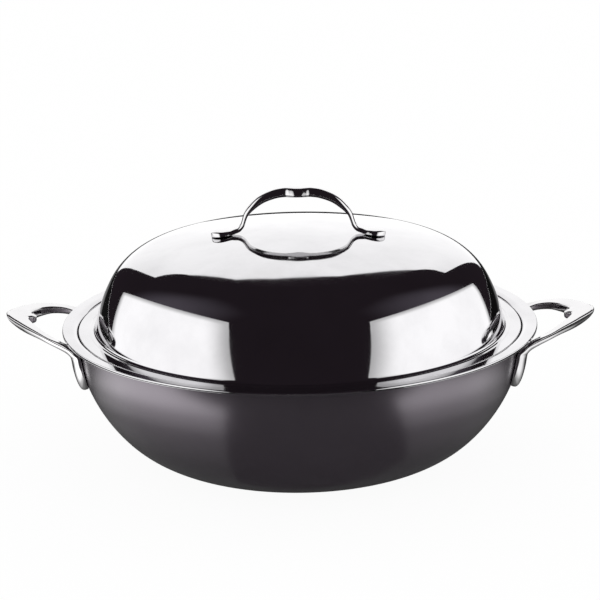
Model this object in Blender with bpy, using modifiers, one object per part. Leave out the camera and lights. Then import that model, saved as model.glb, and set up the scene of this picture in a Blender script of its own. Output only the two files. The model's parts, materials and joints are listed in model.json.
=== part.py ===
# Two-handled wok with a domed lid, in metres with +Z up.
# The origin is the centre of the flat base, on the surface that the wok stands on.
# The side handles lie along X, and the lid lifts off along +Z.

from math import asin, cos, pi, radians, sin, sqrt, tan

import bmesh
import bpy
from mathutils import Matrix, Vector

MM = 0.001

# Fits between pieces
SEAT_GAP = 0.3 * MM            # between two pieces that touch
RIVET_GAP = 0.3 * MM           # round a rivet in its hole

# Wok body, one clad sheet pressed to an even thickness
WOK_DEPTH = 110.0 * MM         # underside of the base to the top of the rim
WOK_WALL = 2.3 * MM
RIM_RADIUS = 188.5 * MM
RIM_FLARE = 10.2 * MM          # how far the rim stands out from the wall
RIM_BEND = 5.0 * MM            # inner bend between the wall and the rim
NECK_RADIUS = RIM_RADIUS - RIM_FLARE
NECK_SLOPE = radians(87.7)     # steepness of the wall under the rim
BASE_RADIUS = 83.0 * MM        # flat part of the underside
KNUCKLE_TURN = radians(46)     # how far the tighter arc beside the base bends

# Lid, one spun sheet
LID_SHEET = 1.2 * MM
DOME_HEIGHT = 73.2 * MM        # top of the dome over the ledge at its foot
DOME_INSET = 18.0 * MM         # the skirt's foot, in from the wok's wall
DOME_RADIUS = NECK_RADIUS - DOME_INSET
CROWN_TURN = radians(12.8)     # slope where the crown meets the shoulder
SHOULDER_RADIUS = 52.3 * MM
SKIRT_SLOPE = radians(77.3)
FOOT_FILLET = 2.0 * MM
LEDGE_WIDTH = 4.0 * MM         # flat ledge outside the foot's fillet
STEP_DROP = 1.2 * MM           # from the ledge down to the outer flange
STEP_SLOPE = radians(40)
STEP_RADIUS = 1.6 * MM         # both bends of the step
FLANGE_DEPTH = 1.1 * MM        # outer flange's top below the rim's top

# Side handles, cast loops
HANDLE_REACH = 45.2 * MM       # rim to the tip
HANDLE_RISE = 8.9 * MM         # top face at the tip, over the rim's top
HANDLE_TILT = radians(1.9)     # slope at the tip
HANDLE_BOW = 113.0 * MM        # radius that the loop bows down with
PAD_ANGLE = radians(15.4)      # each pad's place round the wok, from X
PAD_WIDTH = 18.5 * MM
PAD_THICKNESS = 6.7 * MM
PAD_TOP = 14.0 * MM            # where the pad meets the wall, below the rim's top
PAD_FOOT = 40.6 * MM           # lowest point of the pad, below the rim's top

# The loop in millimetres: outside and opening, each as the distance back from the tip and
# the half width, then the thickness there. The opening's first points are its tongue.
LOOP = (
    ((0.0, 0.0), (23.8, 0.0), 6.8),
    ((0.35, 3.3), (23.0, 2.4), 6.9),
    ((1.3, 6.9), (20.8, 3.9), 7.2),
    ((3.3, 11.3), (18.7, 6.6), 7.8),
    ((6.6, 16.6), (19.4, 10.6), 8.3),
    ((11.6, 23.6), (21.9, 16.6), 8.5),
    ((18.6, 32.4), (26.3, 24.8), 7.7),
    ((27.6, 40.9), (33.4, 34.4), 6.4),
    ((38.4, 49.0), (43.3, 42.4), 5.6),
)
# The strap round the rim: degrees short of the pad's place, distance out from the wall's
# neck, depth below the rim's top, slope and skew in degrees, width and thickness.
SHOULDER = (
    (0.6, 9.6, 4.2, 35, 32, 10.4, 5.8),
    (0.2, 4.4, 7.4, 55, 14, 14.0, 6.4),
    (0.0, 1.4, 10.8, 72, 4, 17.0, 6.7),
)
# The pad in shares: how far down it, its width and its thickness.
PAD = (
    (0.04, 0.98, 1.0),
    (0.36, 1.0, 1.0),
    (0.66, 0.94, 0.98),
    (0.86, 0.72, 0.9),
    (0.96, 0.42, 0.74),
    (1.0, 0.16, 0.56),
)

# Rivets through the wok's wall, flush inside and blind in the pad
RIVET_SHANK = 2.4 * MM
RIVET_HEAD = 4.0 * MM
RIVET_COUNTERSINK = 1.2 * MM
RIVET_BLIND = 3.4 * MM         # depth of the shank in the pad
RIVET_HEIGHTS = (19.0 * MM, 30.0 * MM)

# The lid's handle, a cast strap: distance from the middle, height over the dome, slope in
# degrees, thickness and width. The lengths are scaled to the reach.
LID_HANDLE_REACH = 68.3 * MM   # middle of the grip to the end of a tab
STRAP = (
    (0.0, 32.4, 0, 6.2, 14.0),
    (4.2, 32.6, -1, 6.8, 13.2),
    (8.5, 32.8, -4, 7.2, 11.8),
    (18.4, 30.5, -19, 7.1, 11.4),
    (28.5, 26.3, -37, 6.5, 11.2),
    (36.3, 19.7, -56, 5.0, 10.8),
    (40.7, 14.1, -72, 3.9, 10.4),
    (42.7, 8.7, -79, 3.4, 10.2),
    (44.0, 5.1, -68, 3.4, 10.2),
    (46.6, 2.0, -40, 3.5, 10.8),
    (50.5, 0.4, -14, 3.6, 12.6),
)
# Its tabs, which lie on the dome: distance from the middle, thickness and width.
TAB = (
    (56.0, 3.4, 15.4),
    (61.0, 3.3, 16.4),
    (65.2, 3.2, 15.4),
    (67.5, 3.0, 11.4),
    (68.3, 2.4, 5.6),
)

# Rivets of the lid's handle, with low heads under the lid
LID_RIVET_SHANK = 1.9 * MM
LID_RIVET_HEAD = 3.6 * MM
LID_RIVET_RISE = 1.1 * MM
LID_RIVET_BLIND = 1.8 * MM
LID_RIVET_INSETS = (12.0 * MM, 4.3 * MM)   # in from the tab's end

# Right halves of the two cast sections, from the middle of the top face to that of the
# bottom, in shares of the half width and the half thickness
FLAT_TOPPED = ((0, 1), (0.86, 1), (1, 0.76), (1, 0.25), (0.86, -0.42), (0.5, -0.85), (0, -1))
SQUARED = ((0, 1), (0.78, 1), (0.96, 0.8), (1, 0), (0.96, -0.8), (0.78, -1), (0, -1))

# Fineness
TURNS = 52
RIVET_TURNS = 14
WALL_STEPS = 5                 # in each of the wok wall's two arcs
BEND_STEPS = 3
NOSE_STEPS = 4                 # round the edge of a sheet
CROWN_STEPS = 4
SHOULDER_STEPS = 7
FOOT_STEPS = 2
STEP_STEPS = 2
LOFT_PARTS = 2                 # between two sections of a casting
DOMED_HEAD = (0, pi / 6, pi / 3)
MERGE = 0.01 * MM


class Trace:
    """A profile drawn as lines and arcs. Each sample is its x, z and heading."""

    def __init__(self, x, z, heading):
        self.samples = [(x, z, heading)]

    def line(self, length):
        x, z, heading = self.samples[-1]
        self.samples.append((x + length * cos(heading), z + length * sin(heading), heading))

    def arc(self, radius, turn, steps):
        """Turns left by this angle, or right where it is negative."""
        x, z, heading = self.samples[-1]
        side = 1 if turn > 0 else -1
        middle_x = x - side * radius * sin(heading)
        middle_z = z + side * radius * cos(heading)
        for step in range(1, steps + 1):
            angle = heading + turn * step / steps
            self.samples.append((
                middle_x + side * radius * sin(angle),
                middle_z - side * radius * cos(angle),
                angle,
            ))

    def beside(self, distance):
        """The profile's points moved to its left."""
        return [(x - distance * sin(a), z + distance * cos(a)) for x, z, a in self.samples]


def solve_pair(a, b, c, d, e, f):
    """The x and y with a x + b y = e and c x + d y = f."""
    scale = a * d - b * c
    return (e * d - b * f) / scale, (a * f - e * c) / scale


def wok_underside():
    """Outer face of the wok, from the axis to where the rim's nose starts."""
    outer_bend = RIM_BEND - WOK_WALL
    neck_height = WOK_DEPTH - WOK_WALL - outer_bend * (1 - cos(NECK_SLOPE))
    knuckle, wall = solve_pair(
        sin(KNUCKLE_TURN), sin(NECK_SLOPE) - sin(KNUCKLE_TURN),
        1 - cos(KNUCKLE_TURN), cos(KNUCKLE_TURN) - cos(NECK_SLOPE),
        NECK_RADIUS - BASE_RADIUS, neck_height,
    )
    trace = Trace(0, 0, 0)
    trace.line(BASE_RADIUS)
    trace.arc(knuckle, KNUCKLE_TURN, WALL_STEPS)
    trace.arc(wall, NECK_SLOPE - KNUCKLE_TURN, WALL_STEPS)
    trace.arc(outer_bend, -NECK_SLOPE, BEND_STEPS)
    trace.line(RIM_RADIUS - WOK_WALL / 2 - trace.samples[-1][0])
    return trace


def nose(x, z, radius, heading):
    """Half round between the two faces of a sheet, about its middle, going left."""
    angles = [heading - pi / 2 + pi * step / NOSE_STEPS for step in range(1, NOSE_STEPS)]
    return [(x + radius * cos(a), z + radius * sin(a)) for a in angles]


def rim_bend_middle():
    """Centre of the bend inside the rim, as x and z."""
    x, z, heading = next(
        sample for sample in wok_underside().samples if abs(sample[2] - NECK_SLOPE) < 1e-9
    )
    outer_bend = RIM_BEND - WOK_WALL
    return x + outer_bend * sin(heading), z - outer_bend * cos(heading)


def wall_at(depth):
    """Outer face of the wall this far below the rim's top: its radius and slope."""
    height = WOK_DEPTH - depth
    samples = wok_underside().samples
    for (x0, z0, a0), (x1, z1, a1) in zip(samples[1:], samples[2:]):
        if z0 <= height <= z1:
            share = (height - z0) / (z1 - z0)
            return x0 + (x1 - x0) * share, a0 + (a1 - a0) * share
    raise ValueError("no wall at this depth")


def lid_top():
    """Upper face of the lid, from the axis to where the flange's nose starts."""
    bend_x, bend_z = rim_bend_middle()
    nose_z = WOK_DEPTH - FLANGE_DEPTH - LID_SHEET / 2
    reach = RIM_BEND + SEAT_GAP + LID_SHEET / 2
    nose_x = bend_x - sqrt(reach**2 - (nose_z - bend_z) ** 2)

    ledge_z = WOK_DEPTH - FLANGE_DEPTH + STEP_DROP
    crown, skirt = solve_pair(
        sin(CROWN_TURN), cos(SKIRT_SLOPE),
        1 - cos(CROWN_TURN), sin(SKIRT_SLOPE),
        DOME_RADIUS - SHOULDER_RADIUS * (sin(SKIRT_SLOPE) - sin(CROWN_TURN)),
        DOME_HEIGHT - SHOULDER_RADIUS * (cos(CROWN_TURN) - cos(SKIRT_SLOPE)),
    )
    fillet_run = FOOT_FILLET * tan(SKIRT_SLOPE / 2)
    slope_length = (STEP_DROP - 2 * STEP_RADIUS * (1 - cos(STEP_SLOPE))) / sin(STEP_SLOPE)

    trace = Trace(0, ledge_z + DOME_HEIGHT, 0)
    trace.arc(crown, -CROWN_TURN, CROWN_STEPS)
    trace.arc(SHOULDER_RADIUS, CROWN_TURN - SKIRT_SLOPE, SHOULDER_STEPS)
    trace.line(skirt - fillet_run)
    trace.arc(FOOT_FILLET, SKIRT_SLOPE, FOOT_STEPS)
    trace.line(LEDGE_WIDTH - fillet_run)
    trace.arc(STEP_RADIUS, -STEP_SLOPE, STEP_STEPS)
    trace.line(slope_length)
    trace.arc(STEP_RADIUS, STEP_SLOPE, STEP_STEPS)
    trace.line(nose_x - trace.samples[-1][0])
    return trace


def crown_at(x):
    """Height and slope of the dome's upper face at this distance from the axis, within its crown."""
    top = lid_top().samples
    radius = top[CROWN_STEPS][0] / sin(CROWN_TURN)
    return top[0][1] - radius + sqrt(radius**2 - x**2), asin(x / radius)


def outline(trace, thickness):
    """Closed section of a sheet: its left face outward, its nose, and its right face back."""
    left = trace.beside(thickness)
    x, z, heading = trace.samples[-1]
    middle = x - thickness / 2 * sin(heading), z + thickness / 2 * cos(heading)
    round_end = nose(*middle, thickness / 2, heading)
    right = [(x, z) for x, z, _ in trace.samples]
    return left + round_end[::-1] + right[::-1]


def smooth(values, parts):
    """Points along a curve through the given vectors, with this many parts between each two."""
    points = []
    for index in range(len(values) - 1):
        a = values[max(index - 1, 0)]
        b = values[index]
        c = values[index + 1]
        d = values[min(index + 2, len(values) - 1)]
        for part in range(parts):
            t = part / parts
            points.append(
                0.5 * (2 * b + (c - a) * t + (2 * a - 5 * b + 4 * c - d) * t**2
                       + (3 * b - a - 3 * c + d) * t**3)
            )
    return points + [values[-1]]


def whole(half):
    """All the way round a section that is given as its right half."""
    return list(half) + [(-across, up) for across, up in half[-2:0:-1]]


def new_material(name, colour, roughness):
    material = bpy.data.materials.new(name)
    material.use_nodes = True
    shader = material.node_tree.nodes["Principled BSDF"]
    shader.inputs["Base Color"].default_value = (*colour, 1)
    shader.inputs["Metallic"].default_value = 1
    shader.inputs["Roughness"].default_value = roughness
    return material


def new_object(name, mesh, collection, material=None):
    if material:
        mesh.materials.append(material)
    obj = bpy.data.objects.new(name, mesh)
    collection.objects.link(obj)
    return obj


def turned(name, profile, turns, collection, material=None):
    """An object turned round Z from a section at +X."""
    mesh = bpy.data.meshes.new(name)
    points = [(x, 0, z) for x, z in profile]
    mesh.from_pydata(points, [(i, i + 1) for i in range(len(points) - 1)], [])
    obj = new_object(name, mesh, collection, material)
    screw = obj.modifiers.new("turn", "SCREW")
    screw.axis = "Z"
    screw.steps = screw.render_steps = turns
    screw.use_merge_vertices = True
    screw.merge_threshold = MERGE
    screw.use_smooth_shade = True
    return obj


def lofted(name, rings):
    """A mesh skinned smoothly over rings of points, open at the first ring and filled at the last."""
    count = len(rings[0])
    columns = [smooth([ring[index] for ring in rings], LOFT_PARTS) for index in range(count)]
    shape = bmesh.new()
    loops = [[shape.verts.new(point) for point in ring] for ring in zip(*columns)]
    for near, far in zip(loops, loops[1:]):
        for index in range(count):
            after = (index + 1) % count
            shape.faces.new((near[index], near[after], far[after], far[index]))
    shape.faces.new(loops[-1])
    bmesh.ops.recalc_face_normals(shape, faces=shape.faces)
    mesh = bpy.data.meshes.new(name)
    shape.to_mesh(mesh)
    shape.free()
    mesh.shade_smooth()
    return mesh


def mirrored(obj, axis):
    mirror = obj.modifiers.new("mirror", "MIRROR")
    mirror.use_axis = [index == axis for index in range(3)]
    mirror.use_mirror_merge = True
    mirror.merge_threshold = MERGE


def cut(obj, cutter):
    boolean = obj.modifiers.new("cut", "BOOLEAN")
    boolean.operation = "DIFFERENCE"
    boolean.solver = "EXACT"
    boolean.object = cutter
    cutter.hide_render = True
    cutter.display_type = "WIRE"


def plate_ring(outside, opening, thickness):
    """Section of the loop between a point of its outside and one of the opening's edge."""
    tip = RIM_RADIUS + HANDLE_REACH
    ring = []
    for across, up in whole(FLAT_TOPPED):
        share = (1 + across) / 2
        back = (opening[0] + (outside[0] - opening[0]) * share) * MM
        side = (opening[1] + (outside[1] - opening[1]) * share) * MM
        drop = back * tan(HANDLE_TILT) + back**2 / (2 * HANDLE_BOW)
        ring.append(Vector((tip - back, side, HANDLE_RISE - drop + (up - 1) * thickness * MM / 2)))
    return ring


def strap_ring(angle, radius, depth, slope, skew, width, thickness):
    """Section of the strap where the middle of its face to the wok has this radius and depth.

    slope is how far the strap points down there, and skew how far its section is turned in
    its own face, away from the wok's tangent.
    """
    ring = []
    for across, up in whole(FLAT_TOPPED):
        along = across * width / 2
        out = (1 - up) * thickness / 2
        r = radius + along * sin(skew) * cos(slope) + out * sin(slope)
        z = -depth + along * sin(skew) * sin(slope) - out * cos(slope)
        turn = angle + along * cos(skew) / radius
        ring.append(Vector((r * cos(turn), r * sin(turn), z)))
    return ring


def half_handle():
    """Half of a side handle, from the middle of its tip to the foot of one pad."""
    rings = [plate_ring(*station) for station in LOOP]
    for short, out, depth, slope, skew, width, thickness in SHOULDER:
        rings.append(strap_ring(
            PAD_ANGLE - radians(short), NECK_RADIUS + out * MM, depth * MM,
            radians(slope), radians(skew), width * MM, thickness * MM,
        ))
    for down, width, thickness in PAD:
        depth = PAD_TOP + down * (PAD_FOOT - PAD_TOP)
        radius, slope = wall_at(depth)
        rings.append(strap_ring(
            PAD_ANGLE, radius + SEAT_GAP, depth, slope, 0, width * PAD_WIDTH, thickness * PAD_THICKNESS,
        ))
    return lofted("side_handle", rings)


def along_axis(point, direction):
    """Places an object's origin at a point with its +Z along a direction."""
    turn = Vector(direction).to_track_quat("Z", "Y").to_matrix().to_4x4()
    return Matrix.Translation(point) @ turn


def wall_rivet_place(depth, angle):
    """On the inside of the wall, pointing out through it."""
    radius, slope = wall_at(depth)
    out = Vector((sin(slope), 0, -cos(slope)))
    point = Vector((radius, 0, WOK_DEPTH - depth)) - out * WOK_WALL
    turn = Matrix.Rotation(angle, 4, "Z")
    return turn @ along_axis(point, out)


def flush_rivet(grow):
    """Section of a flush rivet, its head's face at z = 0. A cutter grows and runs past the face."""
    length = WOK_WALL + SEAT_GAP + RIVET_BLIND
    tail = [
        (0, length + grow),
        (RIVET_SHANK + grow, length + grow),
        (RIVET_SHANK + grow, RIVET_COUNTERSINK),
        (RIVET_HEAD + grow, 0),
    ]
    return tail + ([(RIVET_HEAD + grow, -WOK_WALL), (0, -WOK_WALL)] if grow else [(0, 0)])


def lid_rivet(grow):
    """Section of a lid rivet from its low head under the lid. z = 0 is the lid's underside."""
    length = LID_SHEET + SEAT_GAP + LID_RIVET_BLIND
    if grow:
        edge = LID_RIVET_SHANK + grow
        return [(0, length + grow), (edge, length + grow), (edge, -LID_SHEET), (0, -LID_SHEET)]
    head = [
        (LID_RIVET_HEAD * cos(a), -SEAT_GAP - LID_RIVET_RISE * sin(a))
        for a in DOMED_HEAD
    ]
    tail = [(0, length), (LID_RIVET_SHANK, length), (LID_RIVET_SHANK, -SEAT_GAP)]
    return tail + head + [(0, -SEAT_GAP - LID_RIVET_RISE)]


def half_lid_handle():
    """Half of the lid's handle, from the middle of the grip to the end of one tab."""
    top, _ = crown_at(0)
    unit = LID_HANDLE_REACH / TAB[-1][0]
    stations = []
    for x, height, slope, thickness, width in STRAP:
        stations.append((x * unit, top + height * unit, radians(slope), thickness * unit, width * unit))
    for x, thickness, width in TAB:
        height, slope = crown_at(x * unit)
        seat = height + SEAT_GAP + thickness * unit / 2
        stations.append((x * unit, seat, -slope, thickness * unit, width * unit))
    rings = []
    for x, z, slope, thickness, width in stations:
        ring = []
        for across, up in whole(SQUARED):
            lift = up * thickness / 2
            ring.append(Vector((x - lift * sin(slope), across * width / 2, z + lift * cos(slope))))
        rings.append(ring)
    return lofted("lid_handle", rings)


def lid_rivet_place(x):
    """Under the lid, pointing up through it."""
    height, slope = crown_at(abs(x))
    lean = slope * (1 if x > 0 else -1)
    up = Vector((sin(lean), 0, cos(lean)))
    return along_axis(Vector((x, 0, height)) - up * LID_SHEET, up)


def build_wok(parts, cutters, dark_metal, polished):
    body = turned("wok_body", outline(wok_underside(), WOK_WALL), TURNS, parts, dark_metal)
    half = half_handle()
    half.materials.append(polished)
    for side, half_turn in (("right", 0), ("left", pi)):
        handle = new_object(f"side_handle_{side}", half, parts)
        handle.location = (0, 0, WOK_DEPTH)
        handle.rotation_euler = (0, 0, half_turn)
        mirrored(handle, 1)
        for end, angle in (("front", -PAD_ANGLE), ("back", PAD_ANGLE)):
            place_angle = angle if side == "right" else pi - angle
            for level, depth in zip(("upper", "lower"), RIVET_HEIGHTS):
                place = wall_rivet_place(depth, place_angle)
                name = f"rivet_{side}_{end}_{level}"
                rivet = turned(name, flush_rivet(0), RIVET_TURNS, parts, polished)
                hole = turned(name + "_hole", flush_rivet(RIVET_GAP), RIVET_TURNS, cutters)
                rivet.matrix_world = hole.matrix_world = place
                cut(body, hole)
                cut(handle, hole)


def build_lid(parts, cutters, polished):
    lid = bpy.data.objects.new("lid", None)
    lid.location = (0, 0, WOK_DEPTH)
    parts.objects.link(lid)
    top = lid_top()
    # The sheet lies under its drawn face, so it is the outline's right side
    under = Trace(0, 0, 0)
    under.samples = [(x + LID_SHEET * sin(a), z - LID_SHEET * cos(a), a) for x, z, a in top.samples]
    shell = turned("lid_shell", outline(under, LID_SHEET), TURNS, parts, polished)
    grip = new_object("lid_handle", half_lid_handle(), parts, polished)
    mirrored(grip, 0)
    pieces = [shell, grip]
    for side, sign in (("right", 1), ("left", -1)):
        for level, inset in zip(("inner", "outer"), LID_RIVET_INSETS):
            place = LID_HANDLE_REACH - inset
            name = f"lid_rivet_{side}_{level}"
            rivet = turned(name, lid_rivet(0), RIVET_TURNS, parts, polished)
            hole = turned(name + "_hole", lid_rivet(RIVET_GAP), RIVET_TURNS, cutters)
            rivet.matrix_world = hole.matrix_world = lid_rivet_place(sign * place)
            cut(shell, hole)
            cut(grip, hole)
            pieces.append(rivet)
    bpy.context.view_layer.update()
    for piece in pieces:
        piece.parent = lid
        piece.matrix_parent_inverse = lid.matrix_world.inverted()


def main():
    for obj in list(bpy.data.objects):
        bpy.data.objects.remove(obj)
    parts = bpy.data.collections.new("wok")
    cutters = bpy.data.collections.new("cutters")
    for collection in (parts, cutters):
        bpy.context.scene.collection.children.link(collection)
    dark_metal = new_material("dark_satin_metal", (0.075, 0.070, 0.074), 0.34)
    polished = new_material("polished_steel", (0.62, 0.61, 0.60), 0.06)
    build_wok(parts, cutters, dark_metal, polished)
    build_lid(parts, cutters, polished)


main()
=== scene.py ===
import json
from math import asin, cos, degrees, hypot, pi, radians, sin, sqrt, tan

import bmesh
import bpy
import numpy as np
from mathutils import Matrix, Vector

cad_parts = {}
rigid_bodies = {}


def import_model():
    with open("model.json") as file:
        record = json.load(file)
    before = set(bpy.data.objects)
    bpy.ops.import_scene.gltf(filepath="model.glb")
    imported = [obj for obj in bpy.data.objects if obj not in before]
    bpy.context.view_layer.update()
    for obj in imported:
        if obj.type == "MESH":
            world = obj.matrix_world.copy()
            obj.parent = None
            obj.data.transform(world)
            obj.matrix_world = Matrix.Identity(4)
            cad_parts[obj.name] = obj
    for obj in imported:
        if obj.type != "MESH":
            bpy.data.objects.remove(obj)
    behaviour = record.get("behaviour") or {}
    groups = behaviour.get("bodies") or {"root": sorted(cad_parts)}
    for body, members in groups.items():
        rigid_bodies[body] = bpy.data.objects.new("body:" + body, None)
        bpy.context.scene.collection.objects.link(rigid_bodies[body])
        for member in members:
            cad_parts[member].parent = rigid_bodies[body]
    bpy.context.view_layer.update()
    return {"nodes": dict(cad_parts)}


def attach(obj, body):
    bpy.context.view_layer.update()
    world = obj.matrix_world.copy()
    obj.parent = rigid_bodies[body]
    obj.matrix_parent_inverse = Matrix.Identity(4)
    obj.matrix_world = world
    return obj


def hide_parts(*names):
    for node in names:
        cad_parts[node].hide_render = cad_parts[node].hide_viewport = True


for left in list(bpy.data.objects):  # the startup scene
    bpy.data.objects.remove(left)
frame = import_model()
scene = bpy.context.scene
mm = 0.001
print("frame loaded with", len(frame["nodes"]), "nodes")


# Shapes: sheets turned round Z, and castings skinned over their sections

def follow(start, *moves):
    # A section drawn as lines (length,) and arcs (radius, turn, steps). Each point is x, z and heading
    samples = [start]
    for move in moves:
        x, z, heading = samples[-1]
        if len(move) == 1:
            samples.append((x + move[0] * cos(heading), z + move[0] * sin(heading), heading))
            continue
        radius, turn, steps = move
        side = 1 if turn > 0 else -1
        middleX = x - side * radius * sin(heading)
        middleZ = z + side * radius * cos(heading)
        for step in range(1, steps + 1):
            angle = heading + turn * step / steps
            x, z = middleX + side * radius * sin(angle), middleZ - side * radius * cos(angle)
            samples.append((x, z, angle))
    return samples


def solvePair(a, b, c, d, e, f):
    scale = a * d - b * c
    return (e * d - b * f) / scale, (a * f - e * c) / scale


def sheetSection(under, thickness, noseSteps, fullness=2, lean=0):
    # The upper face, nose and lower face of a sheet. Each point is x, z and its outward normal. The
    # nose is blunter as its fullness grows, and leans back at the top
    upper = [(x - thickness * sin(a), z + thickness * cos(a), -sin(a), cos(a)) for x, z, a in under]
    lower = [(x, z, sin(a), -cos(a)) for x, z, a in under]
    x, z, a = under[-1]
    half = thickness / 2
    outline = []
    for step in range(noseSteps + 1):
        turn = pi / 2 - pi * step / noseSteps
        rise = abs(sin(turn)) ** (2 / fullness) * (1 if turn > 0 else -1)
        outline.append((abs(cos(turn)) ** (2 / fullness) * (1 - lean * (1 + rise) / 2), rise))
    nose = []
    for (x0, z0), (reach, rise), (x1, z1) in zip(outline, outline[1:], outline[2:]):
        out, over = z0 - z1, x1 - x0
        size = hypot(out, over)
        nose.append((
            x + half * (reach * cos(a) - (1 + rise) * sin(a)),
            z + half * (reach * sin(a) + (1 + rise) * cos(a)),
            (out * cos(a) - over * sin(a)) / size,
            (out * sin(a) + over * cos(a)) / size,
        ))
    return upper, nose, lower[::-1]


onAxis = 1e-7


def aroundCircle(count, radius=1):
    return [(radius * cos(2 * pi * k / count), radius * sin(2 * pi * k / count)) for k in range(count)]


def turnedMesh(name, section, turns, finishes=None):
    # finishes names the material slot of each stretch. The true normals are kept for mirror finishes
    points = []
    rows = []
    for x, z, *_ in section:
        if x < onAxis:
            rows.append([len(points)] * turns)
            points.append((0, 0, z))
        else:
            rows.append(list(range(len(points), len(points) + turns)))
            points += [(x * c, x * s, z) for c, s in aroundCircle(turns)]
    faces = []
    normals = []
    slots = []
    for row in range(len(section) - 1):
        near, far = rows[row], rows[row + 1]
        for k in range(turns):
            after = (k + 1) % turns
            corners = [
                (near[k], row, k), (far[k], row + 1, k),
                (far[after], row + 1, after), (near[after], row, after),
            ]
            if near[k] == near[after]:
                corners.pop(3)
            elif far[k] == far[after]:
                corners.pop(2)
            faces.append([corner[0] for corner in corners])
            slots.append(finishes[row] if finishes else 0)
            for _, place, step in corners:
                across, up = section[place][2:]
                turn = 2 * pi * step / turns
                normals.append((across * cos(turn), across * sin(turn), up))
    mesh = bpy.data.meshes.new(name)
    mesh.from_pydata(points, [], faces)
    mesh.polygons.foreach_set("material_index", slots)
    mesh.shade_smooth()
    kept = mesh.attributes.new("trueNormal", "FLOAT_VECTOR", "CORNER")
    kept.data.foreach_set("vector", np.array(normals, np.float32).ravel())
    return mesh


def smooth(values, parts):
    points = []
    for index in range(len(values) - 1):
        a, b = values[max(index - 1, 0)], values[index]
        c, d = values[index + 1], values[min(index + 2, len(values) - 1)]
        for part in range(parts):
            t = part / parts
            points.append(0.5 * (2 * b + (c - a) * t + (2 * a - 5 * b + 4 * c - d) * t**2
                                 + (3 * b - a - 3 * c + d) * t**3))
    return points + [values[-1]]


endDepth = 0.4    # of the end's least half width
endNarrowest = 0.05


def roundedEnd(before, last, steps=4):
    # Rings that round off the end of a casting
    middle = sum(last, Vector()) / len(last)
    ahead = (middle - sum(before, Vector()) / len(before)).normalized()
    depth = endDepth * min((point - middle).length for point in last)
    rings = []
    for step in range(1, steps + 1):
        turn = pi / 2 * step / steps
        width, reach = max(cos(turn), endNarrowest), ahead * depth * sin(turn)
        rings.append([middle + (point - middle) * width + reach for point in last])
    return rings


def castMesh(name, halfRings, mirrorAxis, parts):
    # Half of a casting is given, from its mirror plane to one end
    flip = Matrix.Diagonal([-1 if axis == mirrorAxis else 1 for axis in range(3)])
    rings = [[flip @ point for point in ring] for ring in halfRings[:0:-1]] + halfRings
    columns = [smooth(column, parts) for column in zip(*rings)]
    rings = [list(ring) for ring in zip(*columns)]
    rings = roundedEnd(rings[1], rings[0])[::-1] + rings + roundedEnd(rings[-2], rings[-1])
    shape = bmesh.new()
    loops = [[shape.verts.new(point) for point in ring] for ring in rings]
    count = len(rings[0])
    for near, far in zip(loops, loops[1:]):
        for k in range(count):
            after = (k + 1) % count
            shape.faces.new((near[k], near[after], far[after], far[k]))
    shape.faces.new(loops[0][::-1])
    shape.faces.new(loops[-1])
    bmesh.ops.recalc_face_normals(shape, faces=shape.faces)
    mesh = bpy.data.meshes.new(name)
    shape.to_mesh(mesh)
    shape.free()
    mesh.shade_smooth()
    return mesh


def drilled(mesh, cutters, *materials):
    # The mesh in its materials, with the rivets' holes cut out
    for material in materials:
        mesh.materials.append(material)
    uncut = bpy.data.objects.new("uncut", mesh)
    scene.collection.objects.link(uncut)
    holes = bpy.data.collections.new("holes")
    scene.collection.children.link(holes)
    for cutter in cutters:
        holes.objects.link(cutter)
    cut = uncut.modifiers.new("holes", "BOOLEAN")
    cut.operation = "DIFFERENCE"
    cut.solver = "EXACT"
    cut.operand_type = "COLLECTION"
    cut.collection = holes
    graph = bpy.context.evaluated_depsgraph_get()
    made = bpy.data.meshes.new_from_object(uncut.evaluated_get(graph))
    made.name = mesh.name
    bpy.data.objects.remove(uncut)
    for cutter in cutters:
        holes.objects.unlink(cutter)
    bpy.data.collections.remove(holes)
    return made


creaseAngle = radians(35)


def finishNormals(mesh):
    # Gives turned faces the normals of their true arcs, and every other sharp edge its crease
    mesh.set_sharp_from_angle(angle=creaseAngle)
    kept = mesh.attributes.get("trueNormal")
    if kept:
        values = np.empty(len(mesh.loops) * 3, np.float32)
        kept.data.foreach_get("vector", values)
        mesh.attributes.remove(kept)
        mesh.normals_split_custom_set(values.reshape(-1, 3).tolist())


def addPiece(mesh, node, body, place=None):
    # The finer piece that is shown for a CAD node
    finishNormals(mesh)
    piece = bpy.data.objects.new("fine_" + node, mesh)
    scene.collection.objects.link(piece)
    piece.matrix_world = place or Matrix()
    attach(piece, body)
    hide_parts(node)


# Finishes

def linear(hexColour):
    # An sRGB hex colour as the linear one that Blender shades with
    channels = [int(hexColour[start:start + 2], 16) / 255 for start in (1, 3, 5)]
    return [c / 12.92 if c <= 0.04045 else ((c + 0.055) / 1.055) ** 2.4 for c in channels] + [1]


def perMetre(size):
    # Scale of a pattern whose features are this many millimetres across
    return 1 / (size * mm)


def addNode(tree, kind, sockets=None, **settings):
    # A node with its settings. A socket's value is a number, a colour or another node's output
    made = tree.nodes.new("ShaderNode" + kind)
    for name, value in settings.items():
        setattr(made, name, value)
    for socket, value in (sockets or {}).items():
        if isinstance(value, bpy.types.NodeSocket):
            tree.links.new(value, made.inputs[socket])
        else:
            made.inputs[socket].default_value = value
    return made


def newMaterial(name):
    material = bpy.data.materials.new(name)
    material.use_nodes = True
    material.node_tree.nodes.clear()
    return material, material.node_tree


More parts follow.
